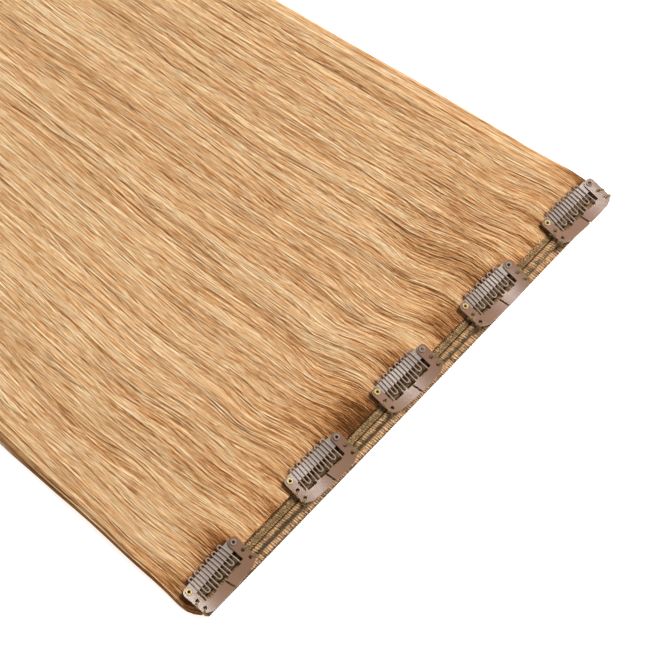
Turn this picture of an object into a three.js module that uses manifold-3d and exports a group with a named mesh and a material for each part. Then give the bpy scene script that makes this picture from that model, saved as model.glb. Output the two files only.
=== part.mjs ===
// A clip-in hair extension: a wide triple weft of long straight hair, with five snap clips sewn along its
// top edge. It lies flat on a surface with its clips upwards, as it is laid out before it is put on.
//
// Millimetres, +Z up. X runs along the weft and Y runs with the hair, from the weft to the tips. The origin
// is on the surface, under the middle of the clips' rivet line.

import * as THREE from 'three';
import { mergeVertices } from 'three/addons/utils/BufferGeometryUtils.js';
import Module from 'manifold-3d';

const wasm = await Module();
wasm.setup();

// Clearances
const LAY_GAP = 0.3; // between soft pieces that lie on or against each other
const CLIP_GAP = 0.25; // between the comb and the bar of a closed clip
const RIVET_GAP = 0.22; // round a rivet's barrel
const FLANGE_GAP = 0.1; // between a rivet's flange and the sheet under it

// Weft: a flat lower track, a rolled track on it, and a flat upper track behind the roll
const WEFT_LENGTH = 253.5;
const RIVET_LINE_TO_EDGE = 13.2; // from the clips' rivets out to the weft's edge
const LOWER_TRACK_WIDTH = 5.3;
const LOWER_TRACK_HEIGHT = 2.0;
const ROLL_INSET = 2.4; // of the roll from the weft's edge
const ROLL_WIDTH = 3.8;
const ROLL_HEIGHT = 2.9;
const UPPER_TRACK_WIDTH = 3.8;
const UPPER_TRACK_HEIGHT = 2.2;

// Hair: two layers of locks, each fused to a root strip
const HAIR_LENGTH = 460; // from the rivet line to the longest tip
const LOWER_HAIR_HEIGHT = 2.0;
const UPPER_HAIR_HEIGHT = 2.2;
const ROOT_STRIP_DEPTH = 3.0;
const LOCKS_PER_LAYER = 12;
const LOCK_OVERLAP = 0.34; // share of its pitch by which a lock runs into the next
const TIP_RAGGEDNESS = 0.06; // share of the length by which the shortest lock falls short
const SEAM_TOLERANCE = 0.02; // edges shorter than this, where locks cross, are merged

// Clip: a stamped comb plate on a narrow bar, riveted together at both ends
const PLATE_LENGTH = 32;
const PLATE_BELOW_RIVETS = 13.1; // from the rivet line to the plate's long edge
const TAB_RISE = 2.1; // of the tabs' tops over the rivet line
const LEFT_TAB_WIDTH = 4.3;
const RIGHT_TAB_WIDTH = 4.8;
const CORNER_REACH = 5.6; // of the rounded lower corners along the plate
const CORNER_DROP = 4.4; // of the rounded lower corners across the plate
const SHEET_THICKNESS = 0.45;
const BOW_RISE = 1.2; // of the clip's ends over its middle
const BOW_FACETS = 5; // odd, so that the middle one is level
const RIVET_INSET = 2.4; // of the rivets from the plate's ends
const SEWING_HOLE_RADIUS = 0.85;
const SEWING_HOLE_INSET = 2.2;
const FIRST_SEWING_HOLE = 5.0; // below the rivet line
const SECOND_SEWING_HOLE = 9.4;
const WINDOW_BELOW_RIVETS = 7.9;
const SLIT_WIDTH = 0.8;
const SLIT_LEAN = 1.1; // sideways, from the window to the plate's long edge
const SLIT_OFFSET = 0.2; // of the slit's middle from the plate's middle

// Teeth: wires stamped out of the plate's window, looped at their tips
const TEETH = 6;
const WIRE_WIDTH = 0.62;
const FIRST_WIRE_MARGIN = 1.0; // from the window's left side to the middle of the first wire
const LAST_WIRE_MARGIN = 1.7; // from the window's right side to the middle of the last wire
const TIP_DRAW = 0.94; // share of the wires' root pitch that is left at their tips
const TIP_RISE = 4.1; // of the loops' tops over the rivet line
const BEND_BELOW_RIVETS = 6.2; // of the lowest point of a bend between two teeth

// Bar
const BAR_RISE = 2.4;
const BAR_BELOW_RIVETS = 2.45;
const BAR_END_RADIUS = 1.9;
const BAR_THICKNESS = 0.45;

// Rivets: a brass eyelet at the left end and a painted one at the right end
const BORE_RADIUS = 0.6;
const BARREL_RADIUS = 0.85;
const FLANGE_RADIUS = 1.38;
const FLANGE_THICKNESS = 0.22;

// Where the clips sit. along is a share of the weft's length and across a share of the distance from the
// rivets to the weft's edge, and turn is in degrees.
const CLIPS = [
  { name: 'clip_1', along: -0.4389, across: -0.015, turn: 2.9 },
  { name: 'clip_2', along: -0.1963, across: 0.08, turn: -1.9 },
  { name: 'clip_3', along: 0.0138, across: 0.1, turn: -1.8 },
  { name: 'clip_4', along: 0.2278, across: 0.02, turn: -1.8 },
  { name: 'clip_5', along: 0.4389, across: 0.015, turn: -1.9 },
];

// How the hair runs. at is a share of its length from the rivet line, left and right are its edges as
// shares of the weft's length, and thick is the share of a layer's height that is left.
const HAIR_RUN = [
  { at: 0.0, left: -0.5124, right: 0.4970, thick: 0.94 },
  { at: 0.04, left: -0.5179, right: 0.4892, thick: 1.0 },
  { at: 0.11, left: -0.5262, right: 0.4643, thick: 1.0 },
  { at: 0.22, left: -0.5396, right: 0.4217, thick: 0.92 },
  { at: 0.36, left: -0.5412, right: 0.3684, thick: 0.84 },
  { at: 0.54, left: -0.5404, right: 0.3018, thick: 0.76 },
  { at: 0.76, left: -0.5247, right: 0.2387, thick: 0.64 },
  { at: 0.92, left: -0.5069, right: 0.2051, thick: 0.48 },
  { at: 1.0, left: -0.4970, right: 0.1913, thick: 0.3 },
];

// A lock's section over its flat underside: side is a share of its half width, and up a share of its height.
const LOCK_SECTION = [
  { side: 1.0, up: 0.0 },
  { side: 0.82, up: 0.7 },
  { side: 0.0, up: 1.0 },
  { side: -0.82, up: 0.7 },
  { side: -1.0, up: 0.0 },
];
const TIP_WIDTH = 0.3; // share of a lock's width that is left at its tip

const COLOURS = {
  hair: { color: 0xd9ab78, roughness: 0.5, metalness: 0.0 },
  weft: { color: 0x8c7145, roughness: 0.8, metalness: 0.0 },
  enamel: { color: 0xa58c80, roughness: 0.35, metalness: 0.6 },
  brass: { color: 0xd8c070, roughness: 0.25, metalness: 1.0 },
};

// Places that follow from the sizes
const weftEdge = -RIVET_LINE_TO_EDGE;
const lowerHairTop = LOWER_HAIR_HEIGHT;
const upperBase = Math.max(LOWER_TRACK_HEIGHT, lowerHairTop) + LAY_GAP;
const rollMiddle = weftEdge + ROLL_INSET + ROLL_WIDTH / 2;
const rollTop = upperBase + ROLL_HEIGHT;
const upperTrackStart = rollMiddle + ROLL_WIDTH / 2 + LAY_GAP;
const upperTrackEnd = upperTrackStart + UPPER_TRACK_WIDTH;
const upperTrackTop = upperBase + UPPER_TRACK_HEIGHT;
const upperHairTop = upperBase + UPPER_HAIR_HEIGHT;
const clipStack = BAR_THICKNESS + CLIP_GAP;
const barUnderside = Math.max(upperTrackTop, upperHairTop, rollTop - clipStack) + LAY_GAP;
const combUnderside = barUnderside + clipStack;
const rivetX = PLATE_LENGTH / 2 - RIVET_INSET;
const windowLeft = -PLATE_LENGTH / 2 + LEFT_TAB_WIDTH;
const windowRight = PLATE_LENGTH / 2 - RIGHT_TAB_WIDTH;
const clear = 5; // how far a cutting shape runs past what it cuts

function solidOf(geometry) {
  const bare = geometry.clone();
  bare.deleteAttribute('normal');
  bare.deleteAttribute('uv');
  const welded = mergeVertices(bare, 1e-4);
  return new wasm.Manifold(new wasm.Mesh({
    numProp: 3,
    vertProperties: new Float32Array(welded.attributes.position.array),
    triVerts: new Uint32Array(welded.index.array),
  }));
}

function geometryOf(solid) {
  const mesh = solid.getMesh();
  const geometry = new THREE.BufferGeometry();
  geometry.setAttribute('position', new THREE.BufferAttribute(new Float32Array(mesh.vertProperties), 3));
  geometry.setIndex(new THREE.BufferAttribute(new Uint32Array(mesh.triVerts), 1));
  const flat = geometry.toNonIndexed();
  flat.computeVertexNormals();
  return flat;
}

function fuse(solids) {
  return solids.reduce((whole, next) => whole.add(next));
}

// An upright prism over an outline in the XY plane
function prism(shape, low, high, curveSegments = 3) {
  const geometry = new THREE.ExtrudeGeometry(shape, { depth: high - low, bevelEnabled: false, curveSegments });
  return solidOf(geometry.translate(0, 0, low));
}

function disc(x, y, radius, low, high) {
  const shape = new THREE.Shape();
  shape.absarc(x, y, radius, 0, Math.PI * 2);
  return prism(shape, low, high, 5);
}

function outline(points) {
  return new THREE.Shape(points.map(([x, y]) => new THREE.Vector2(x, y)));
}

function mesh(name, geometry, material) {
  const made = new THREE.Mesh(geometry, new THREE.MeshStandardMaterial(COLOURS[material]));
  made.name = name;
  return made;
}

// The bow of a closed clip: flat facets between stations on a parabola
function bowAt(x) {
  const facet = PLATE_LENGTH / BOW_FACETS;
  const rise = (station) => BOW_RISE * (station / (PLATE_LENGTH / 2)) ** 2;
  const from = Math.floor((x + PLATE_LENGTH / 2) / facet) * facet - PLATE_LENGTH / 2;
  const slope = (rise(from + facet) - rise(from)) / facet;
  return { height: rise(from) + slope * (x - from), slope };
}

// A sheet with the clip's bow, wide enough for any outline to be cut from it
function bowedSheet(underside, thickness) {
  const facet = PLATE_LENGTH / BOW_FACETS;
  const stations = Array.from({ length: BOW_FACETS + 1 }, (_, i) => i * facet - PLATE_LENGTH / 2);
  const inset = facet / 100; // keeps a station's height on its own facet
  const heights = stations.map((x) => bowAt(Math.min(x, PLATE_LENGTH / 2 - inset)).height);
  heights[BOW_FACETS] = BOW_RISE;
  const under = stations.map((x, i) => [x, underside + heights[i]]);
  const over = stations.map((x, i) => [x, underside + heights[i] + thickness]).reverse();
  const width = PLATE_BELOW_RIVETS + TIP_RISE + 2 * clear;
  const options = { depth: width, bevelEnabled: false };
  const sheet = new THREE.ExtrudeGeometry(outline([...under, ...over]), options);
  return solidOf(sheet.rotateX(Math.PI / 2).translate(0, TIP_RISE + clear, 0));
}

function plateOutline() {
  const half = PLATE_LENGTH / 2;
  const belly = PLATE_BELOW_RIVETS;
  const flank = belly * 0.975; // the long edge is a shallow curve
  const tabRadius = Math.min(TAB_RISE, RIVET_INSET) * 0.95;
  const shape = new THREE.Shape();
  shape.moveTo(-half, -belly + CORNER_DROP);
  shape.quadraticCurveTo(-half, -flank, -half + CORNER_REACH, -flank);
  shape.quadraticCurveTo(0, -belly * 1.025, half - CORNER_REACH, -flank);
  shape.quadraticCurveTo(half, -flank, half, -belly + CORNER_DROP);
  shape.lineTo(half, TAB_RISE - tabRadius);
  shape.absarc(half - tabRadius, TAB_RISE - tabRadius, tabRadius, 0, Math.PI / 2);
  shape.lineTo(windowRight + tabRadius, TAB_RISE);
  shape.absarc(windowRight + tabRadius, TAB_RISE - tabRadius, tabRadius, Math.PI / 2, Math.PI);
  shape.lineTo(windowRight, -WINDOW_BELOW_RIVETS);
  shape.lineTo(windowLeft, -WINDOW_BELOW_RIVETS);
  shape.lineTo(windowLeft, TAB_RISE);
  shape.lineTo(-half + tabRadius, TAB_RISE);
  shape.absarc(-half + tabRadius, TAB_RISE - tabRadius, tabRadius, Math.PI / 2, Math.PI);
  return shape;
}

const firstWire = windowLeft + FIRST_WIRE_MARGIN;
const lastWire = windowRight - LAST_WIRE_MARGIN;
const wireCount = 2 * TEETH;

// The pitch of the wires at a height over the rivet line: they draw together towards their tips
function wirePitch(y) {
  const rootPitch = (lastWire - firstWire) / (wireCount - 1);
  const share = (y + WINDOW_BELOW_RIVETS) / (TIP_RISE + WINDOW_BELOW_RIVETS);
  return rootPitch * (1 + (TIP_DRAW - 1) * share);
}

function wireX(index, y) {
  return (firstWire + lastWire) / 2 + (index - (wireCount - 1) / 2) * wirePitch(y);
}

function wire(index, fromY, toY, low, high) {
  const half = WIRE_WIDTH / 2;
  const [a, b] = [wireX(index, fromY), wireX(index, toY)];
  return prism(outline([[a - half, fromY], [a + half, fromY], [b + half, toY], [b - half, toY]]), low, high);
}

// Half a ring that joins the wires index and index + 1, upwards at a tip and downwards at a bend
function wireBend(index, y, upwards, low, high) {
  const middle = (wireX(index, y) + wireX(index + 1, y)) / 2;
  const outer = wirePitch(y) / 2 + WIRE_WIDTH / 2;
  const inner = outer - WIRE_WIDTH;
  const [start, end] = upwards ? [0, Math.PI] : [Math.PI, 2 * Math.PI];
  const shape = new THREE.Shape();
  shape.absarc(middle, y, outer, start, end, false);
  shape.absarc(middle, y, inner, end, start, true);
  return prism(shape, low, high, 3);
}

function teeth(low, high) {
  const bendReach = (y) => wirePitch(y) / 2 + WIRE_WIDTH / 2;
  const tipY = TIP_RISE - bendReach(TIP_RISE);
  const bendY = -BEND_BELOW_RIVETS + bendReach(-BEND_BELOW_RIVETS);
  const rootY = -WINDOW_BELOW_RIVETS - WIRE_WIDTH;
  const lap = WIRE_WIDTH / 10;
  const solids = [];
  for (let tooth = 0; tooth < TEETH; tooth += 1) {
    const [left, right] = [2 * tooth, 2 * tooth + 1];
    const bendOnRight = tooth % 2 === 0 && tooth < TEETH - 1;
    const bendOnLeft = tooth % 2 === 1;
    solids.push(wireBend(left, tipY, true, low, high));
    solids.push(wire(left, bendOnLeft ? bendY - lap : rootY, tipY + lap, low, high));
    solids.push(wire(right, bendOnRight ? bendY - lap : rootY, tipY + lap, low, high));
    if (bendOnRight) solids.push(wireBend(right, bendY, false, low, high));
  }
  return fuse(solids);
}

function comb() {
  const [low, high] = [combUnderside - clear, combUnderside + BOW_RISE + clear];
  const slitTop = -WINDOW_BELOW_RIVETS + clear / 5;
  const slitBottom = -PLATE_BELOW_RIVETS - clear / 5;
  const [from, to] = [SLIT_OFFSET - SLIT_LEAN / 2, SLIT_OFFSET + SLIT_LEAN / 2];
  const half = SLIT_WIDTH / 2;
  const slit = outline([
    [from - half, slitTop], [to - half, slitBottom], [to + half, slitBottom], [from + half, slitTop],
  ]);
  let flat = prism(plateOutline(), low, high).subtract(prism(slit, low - 1, high + 1)).add(teeth(low, high));
  for (const side of [-1, 1]) {
    const sewingX = side * (PLATE_LENGTH / 2 - SEWING_HOLE_INSET);
    flat = flat.subtract(disc(side * rivetX, 0, BARREL_RADIUS + RIVET_GAP, low - 1, high + 1));
    flat = flat.subtract(disc(sewingX, -FIRST_SEWING_HOLE, SEWING_HOLE_RADIUS, low - 1, high + 1));
    flat = flat.subtract(disc(sewingX, -SECOND_SEWING_HOLE, SEWING_HOLE_RADIUS, low - 1, high + 1));
  }
  return geometryOf(bowedSheet(combUnderside, SHEET_THICKNESS).intersect(flat));
}

function bar() {
  const [low, high] = [barUnderside - clear, barUnderside + BOW_RISE + clear];
  const straight = Math.max(-windowLeft, windowRight) + LEFT_TAB_WIDTH / 10; // ends just under the tabs
  const shape = new THREE.Shape();
  shape.moveTo(-straight, -BAR_BELOW_RIVETS);
  shape.lineTo(straight, -BAR_BELOW_RIVETS);
  shape.lineTo(rivetX, -BAR_END_RADIUS);
  shape.absarc(rivetX, 0, BAR_END_RADIUS, -Math.PI / 2, Math.PI / 2);
  shape.lineTo(straight, BAR_RISE);
  shape.lineTo(-straight, BAR_RISE);
  shape.lineTo(-rivetX, BAR_END_RADIUS);
  shape.absarc(-rivetX, 0, BAR_END_RADIUS, Math.PI / 2, Math.PI * 1.5);
  let flat = prism(shape, low, high);
  for (const side of [-1, 1]) {
    flat = flat.subtract(disc(side * rivetX, 0, BARREL_RADIUS + RIVET_GAP, low - 1, high + 1));
  }
  return geometryOf(bowedSheet(barUnderside, BAR_THICKNESS).intersect(flat));
}

// A hollow rivet through both sheets, square to the bow where it sits
function rivet(side) {
  const bow = bowAt(side * rivetX);
  const foot = barUnderside - FLANGE_GAP - FLANGE_THICKNESS;
  const head = combUnderside + SHEET_THICKNESS + FLANGE_GAP + FLANGE_THICKNESS;
  const profile = [
    [BORE_RADIUS, foot],
    [FLANGE_RADIUS, foot],
    [FLANGE_RADIUS, foot + FLANGE_THICKNESS],
    [BARREL_RADIUS, foot + FLANGE_THICKNESS],
    [BARREL_RADIUS, head - FLANGE_THICKNESS],
    [FLANGE_RADIUS, head - FLANGE_THICKNESS],
    [FLANGE_RADIUS - FLANGE_THICKNESS / 2, head],
    [BORE_RADIUS, head],
    [BORE_RADIUS, foot],
  ];
  const middle = (foot + head) / 2;
  const points = profile.map(([r, z]) => new THREE.Vector2(r, z - middle));
  const geometry = new THREE.LatheGeometry(points, 10).rotateX(Math.PI / 2);
  geometry.rotateY(-Math.atan(bow.slope)).translate(side * rivetX, 0, middle + bow.height);
  return geometry;
}

function clip({ name, along, across, turn }) {
  const group = new THREE.Group();
  group.add(mesh(`${name}_comb`, comb(), 'enamel'));
  group.add(mesh(`${name}_bar`, bar(), 'enamel'));
  group.add(mesh(`${name}_eyelet`, rivet(-1), 'brass'));
  group.add(mesh(`${name}_rivet`, rivet(1), 'enamel'));
  group.position.set(along * WEFT_LENGTH, across * RIVET_LINE_TO_EDGE, 0);
  group.rotation.z = THREE.MathUtils.degToRad(turn);
  return group;
}

// A straight track along the weft, with its section in Y and Z
function track(shape, length, curveSegments = 4) {
  const geometry = new THREE.ExtrudeGeometry(shape, { depth: length, bevelEnabled: false, curveSegments });
  return geometry.rotateX(Math.PI / 2).rotateZ(Math.PI / 2).translate(-length / 2, 0, 0);
}

function flatTrack(fromY, width, base, height, length) {
  const round = Math.min(height, width) * 0.4;
  const shape = new THREE.Shape();
  shape.moveTo(fromY, base);
  shape.lineTo(fromY + width, base);
  shape.lineTo(fromY + width, base + height - round);
  shape.absarc(fromY + width - round, base + height - round, round, 0, Math.PI / 2);
  shape.lineTo(fromY + round, base + height);
  shape.absarc(fromY + round, base + height - round, round, Math.PI / 2, Math.PI);
  return track(shape, length, 3);
}

function roll() {
  const shape = new THREE.Shape();
  shape.absellipse(rollMiddle, upperBase + ROLL_HEIGHT / 2, ROLL_WIDTH / 2, ROLL_HEIGHT / 2, 0, Math.PI * 2);
  return track(shape, WEFT_LENGTH, 12);
}

// The hair's run at a distance from the rivet line, straight between the table's rows
function hairAt(y) {
  const at = Math.min(Math.max(y / HAIR_LENGTH, 0), 1);
  const next = Math.max(HAIR_RUN.findIndex((row) => row.at >= at), 1);
  const [a, b] = [HAIR_RUN[next - 1], HAIR_RUN[next]];
  const share = (at - a.at) / (b.at - a.at);
  const between = (column) => a[column] + (b[column] - a[column]) * share;
  return { left: between('left') * WEFT_LENGTH, right: between('right') * WEFT_LENGTH, thick: between('thick') };
}

// A closed skin through rings that all have the same number of points
function loft(rings) {
  const count = rings[0].length;
  const positions = rings.flat(2);
  const indices = [];
  for (let ring = 0; ring < rings.length - 1; ring += 1) {
    for (let i = 0; i < count; i += 1) {
      const [a, b] = [ring * count + i, ring * count + ((i + 1) % count)];
      indices.push(a, b + count, b, a, a + count, b + count);
    }
  }
  const last = (rings.length - 1) * count;
  for (let i = 1; i < count - 1; i += 1) {
    indices.push(0, i, i + 1);
    indices.push(last, last + i + 1, last + i);
  }
  const geometry = new THREE.BufferGeometry();
  geometry.setAttribute('position', new THREE.Float32BufferAttribute(positions, 3));
  geometry.setIndex(indices);
  return solidOf(geometry);
}

// A short lock falls shorter than its neighbours: a wave that never repeats along the weft
function shortfall(index, layer) {
  return TIP_RAGGEDNESS * (0.5 + 0.5 * Math.sin(2.4 * index + 1.9 * layer.seed));
}

function lock(index, layer) {
  const tipY = HAIR_LENGTH * (1 - shortfall(index, layer));
  const inner = HAIR_RUN.map((row) => row.at * HAIR_LENGTH).filter((y) => y > layer.root && y < 0.95 * tipY);
  const stations = [layer.root, ...inner, tipY];
  const rings = stations.map((y, station) => {
    const run = hairAt(y);
    const isTip = station === stations.length - 1;
    const pitch = (run.right - run.left) / (layer.locks - 1 + 1 + LOCK_OVERLAP);
    const half = (pitch * (1 + LOCK_OVERLAP)) / 2;
    const x = run.left + half + pitch * index;
    const width = isTip ? half * TIP_WIDTH : half;
    const height = layer.height * run.thick * (1 - 0.12 * Math.abs(Math.sin(3.7 * index + layer.seed)));
    const base = layer.base(run.thick);
    return LOCK_SECTION.map(({ side, up }) => [x + side * width, y, base + up * height]);
  });
  return loft(rings);
}

function rootStrip(layer) {
  const rings = [layer.root, layer.root + ROOT_STRIP_DEPTH].map((y) => {
    const run = hairAt(y);
    const inset = (run.right - run.left) / (2 * layer.locks);
    const base = layer.base(run.thick);
    const top = base + 0.8 * layer.height * run.thick;
    const [left, right] = [run.left + inset / 2, run.right - inset / 2];
    return [[right, y, base], [right, y, top], [left, y, top], [left, y, base]];
  });
  return loft(rings);
}

function hairLayer(layer) {
  const solids = [rootStrip(layer)];
  for (let index = 0; index < layer.locks; index += 1) solids.push(lock(index, layer));
  return geometryOf(fuse(solids).simplify(SEAM_TOLERANCE));
}

const lowerHair = {
  root: weftEdge + LOWER_TRACK_WIDTH + LAY_GAP,
  height: LOWER_HAIR_HEIGHT,
  base: () => 0,
  locks: LOCKS_PER_LAYER,
  seed: 1,
};

const upperHair = {
  root: upperTrackEnd + LAY_GAP,
  height: UPPER_HAIR_HEIGHT,
  base: (thick) => LOWER_HAIR_HEIGHT * thick + LAY_GAP,
  locks: LOCKS_PER_LAYER + 1,
  seed: 2,
};

const lowerTrack = flatTrack(weftEdge, LOWER_TRACK_WIDTH, 0, LOWER_TRACK_HEIGHT, WEFT_LENGTH);
const upperTrack = flatTrack(upperTrackStart, UPPER_TRACK_WIDTH, upperBase, UPPER_TRACK_HEIGHT, WEFT_LENGTH);

const extension = new THREE.Group();
extension.add(mesh('weft_lower_track', lowerTrack, 'weft'));
extension.add(mesh('weft_roll', roll(), 'weft'));
extension.add(mesh('weft_upper_track', upperTrack, 'weft'));
extension.add(mesh('hair_lower', hairLayer(lowerHair), 'hair'));
extension.add(mesh('hair_upper', hairLayer(upperHair), 'hair'));
for (const place of CLIPS) extension.add(clip(place));

export default extension;
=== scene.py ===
import math

import bmesh
import bpy
import numpy as np
from mathutils import Matrix, Vector


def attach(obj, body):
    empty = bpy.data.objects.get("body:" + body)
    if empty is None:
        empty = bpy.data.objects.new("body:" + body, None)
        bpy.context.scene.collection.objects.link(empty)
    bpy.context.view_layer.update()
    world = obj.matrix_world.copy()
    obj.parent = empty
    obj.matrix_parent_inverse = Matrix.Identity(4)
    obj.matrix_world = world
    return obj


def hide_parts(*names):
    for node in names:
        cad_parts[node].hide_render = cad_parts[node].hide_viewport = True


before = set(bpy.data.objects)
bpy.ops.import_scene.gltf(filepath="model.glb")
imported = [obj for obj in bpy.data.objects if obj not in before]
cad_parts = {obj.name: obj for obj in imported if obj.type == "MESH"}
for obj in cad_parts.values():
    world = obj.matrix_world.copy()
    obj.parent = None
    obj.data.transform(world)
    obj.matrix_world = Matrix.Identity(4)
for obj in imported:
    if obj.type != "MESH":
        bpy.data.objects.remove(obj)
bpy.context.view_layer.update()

# The table and the light: a white sweep before a white wall, a small studio lamp high over the clips for
# their gloss, a broad one at the weft's right end, and a camera that looks down along the hair.
MM = 0.001
scene = bpy.context.scene
scene.view_settings.view_transform = "Standard"

view_turn, view_height, view_away = math.radians(-45.75), math.radians(74.53), 0.585
view_back = Vector((
    math.sin(view_turn) * math.cos(view_height),
    -math.cos(view_turn) * math.cos(view_height),
    math.sin(view_height),
))
view_aim = Vector((-4.2, 38.6, 6.0)) * MM
camera = bpy.data.objects.new("camera", bpy.data.cameras.new("camera"))
camera.data.lens = 74.77
camera.data.sensor_width = 36.0
camera.data.clip_start, camera.data.clip_end = 0.01, 20.0
camera.location = view_aim + view_back * view_away
camera.rotation_euler = (-view_back).to_track_quat("-Z", "Y").to_euler()
scene.collection.objects.link(camera)
scene.camera = camera

world = bpy.data.worlds.new("studio")
world.use_nodes = True
warm_fill = world.node_tree.nodes["Background"]
warm_fill.inputs["Color"].default_value = (1.0, 0.84, 0.68, 1.0)
warm_fill.inputs["Strength"].default_value = 0.20
white_wall = world.node_tree.nodes.new("ShaderNodeBackground")
white_wall.inputs["Color"].default_value = (1.0, 1.0, 1.0, 1.0)
seen = world.node_tree.nodes.new("ShaderNodeLightPath")
either = world.node_tree.nodes.new("ShaderNodeMixShader")
world.node_tree.links.new(seen.outputs["Is Camera Ray"], either.inputs["Fac"])
world.node_tree.links.new(warm_fill.outputs[0], either.inputs[1])
world.node_tree.links.new(white_wall.outputs[0], either.inputs[2])
world.node_tree.links.new(either.outputs[0], world.node_tree.nodes["World Output"].inputs["Surface"])
scene.world = world


def softbox(name, place, aim, width, height, power):
    """A soft lamp at a place, turned to its aim."""
    data = bpy.data.lights.new(name, "AREA")
    data.shape, data.size, data.size_y, data.energy = "RECTANGLE", width, height, power
    lamp = bpy.data.objects.new(name, data)
    lamp.location = place
    lamp.rotation_euler = (Vector(aim) - Vector(place)).to_track_quat("-Z", "Y").to_euler()
    scene.collection.objects.link(lamp)
    return lamp


lamp_over = softbox("lamp_over_clips", (0.86, 0.643, 3.32), (0.0035, -0.008, 0.0),
                    width=0.36, height=0.50, power=12.5)
lamp_over.visible_diffuse = False
lamp_right = softbox("lamp_right", (1.70, -0.22, 2.20), (0.0, 0.05, 0.0),
                     width=1.00, height=1.00, power=99.0)
lamp_right.visible_glossy = False


def new_paint(name):
    """A node material, with its tree and its shader."""
    material = bpy.data.materials.new(name)
    material.use_nodes = True
    return material, material.node_tree, material.node_tree.nodes["Principled BSDF"]


FLOOR_HALF, FLOOR_DROP = 3.0, 0.0001
bm = bmesh.new()
bmesh.ops.create_grid(bm, x_segments=1, y_segments=1, size=FLOOR_HALF)
bmesh.ops.translate(bm, verts=bm.verts, vec=(0.0, 0.0, -FLOOR_DROP))
floor_mesh = bpy.data.meshes.new("floor")
bm.to_mesh(floor_mesh)
bm.free()
floor = bpy.data.objects.new("floor", floor_mesh)
scene.collection.objects.link(floor)
floor_paint, _, floor_shader = new_paint("white_sweep")
floor_shader.inputs["Base Color"].default_value = (0.93, 0.93, 0.93, 1.0)
floor_shader.inputs["Roughness"].default_value = 0.9
floor_shader.inputs["Specular IOR Level"].default_value = 0.1
floor_shader.inputs["Emission Color"].default_value = (1.0, 1.0, 1.0, 1.0)
floor_shader.inputs["Emission Strength"].default_value = 0.75
floor_mesh.materials.append(floor_paint)

# The hair: straight human hair dyed honey blonde, in two layers that come out of the lower and the
# upper weft, which hold its roots. Each layer has a bed of packed hair, and the strands that show lie in
# and over it.
HAIR_LENGTH = 0.460
HAIR_RUN = np.array([  # distance from the rivet line, left edge, right edge, share of the thickness left
    (-0.0113, -0.1268, 0.1272, 0.94),
    (-0.0097, -0.1282, 0.1272, 0.94),
    (-0.0080, -0.1295, 0.1272, 0.94),
    (-0.0060, -0.1305, 0.1272, 0.94),
    (-0.0035, -0.1311, 0.1272, 0.95),
    (0.0000, -0.1313, 0.1271, 0.96),
    (0.0110, -0.1314, 0.1258, 0.98),
    (0.0184, -0.1317, 0.1240, 1.00),
    (0.0506, -0.1334, 0.1177, 1.00),
    (0.1012, -0.1368, 0.1069, 0.92),
    (0.1656, -0.1372, 0.0934, 0.84),
    (0.2484, -0.1370, 0.0765, 0.76),
    (0.3496, -0.1330, 0.0605, 0.64),
    (0.4232, -0.1285, 0.0520, 0.48),
    (0.4600, -0.1260, 0.0485, 0.30),
])
CLIP_PLACES = [  # middle of the rivet line along and across the weft in mm, and its turn in degrees
    (-111.25, -0.198, 2.9),
    (-49.75, 1.056, -1.9),
    (3.5, 1.32, -1.8),
    (57.75, 0.264, -1.8),
    (111.25, 0.198, -1.9),
]


EVENED_NEAR, EVENED_FAR = 5, 40  # half the width of the rounding, in steps of 0.5 mm


def smooth_run(column):
    """One column of the run, rounded off a little at the weft and more along the loose hair."""
    stops = np.linspace(-0.05, 0.50, 1101)
    values = np.interp(stops, HAIR_RUN[:, 0], HAIR_RUN[:, column])
    evened = []
    for half in (EVENED_NEAR, EVENED_FAR):
        window = np.hanning(2 * half + 1)
        evened.append(np.convolve(np.pad(values, half, mode="edge"), window / window.sum(), mode="valid"))
    near, far = evened
    share = np.clip((stops - 0.015) / 0.03, 0, 1)
    return stops, near * (1 - share) + far * share


left_run, right_run, thick_run = smooth_run(1), smooth_run(2), smooth_run(3)


def drift(seed, across, along):
    """A smooth random field over the hair, from -1 to 1, with so many cells across it and along it."""
    grid = np.random.default_rng(seed).uniform(-1, 1, (across + 1, along + 1))

    def at(u, v):
        x, y = np.clip(u, 0, 1) * across, np.clip(v, 0, 1) * along
        i, j = np.minimum(x.astype(int), across - 1), np.minimum(y.astype(int), along - 1)
        fx, fy = x - i, y - j
        fx, fy = fx * fx * (3 - 2 * fx), fy * fy * (3 - 2 * fy)
        low = grid[i, j] * (1 - fx) + grid[i + 1, j] * fx
        high = grid[i, j + 1] * (1 - fx) + grid[i + 1, j + 1] * fx
        return low * (1 - fy) + high * fy

    return at


sway, bend, waver, swirl = drift(11, 5, 4), drift(12, 24, 11), drift(13, 90, 26), drift(17, 22, 18)
lump, ridge, furrow, pulled = drift(14, 26, 5), drift(15, 70, 7), drift(16, 170, 9), drift(697, 19, 14)
ROOT_LEFT, ROOT_SPAN = -0.1313, 0.2584
SWEEP = (  # place along the weft, and how far the hair there sweeps to the left past the clips
    (-0.131, 0.0), (-0.128, 0.0005), (-0.105, 0.0030), (-0.060, 0.0050), (0.010, 0.0060),
    (0.060, 0.0052), (0.100, 0.0035), (0.1255, 0.0005),
)
PARTED = (0.45, 1.0, 1.0, 0.9, 0.6)  # how deep the hair parts beside each clip
EYELET_SIDE = 16.2
SHADED_HALF = 0.0125  # half the length of weft that a clip shades
NEAR_CLIPS = 0.035  # the pulled locks' light and dark fades out over this distance


def eased(t):
    """From 0 to 1, slow at both ends."""
    t = np.clip(t, 0, 1)
    return t * t * (3 - 2 * t)


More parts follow.
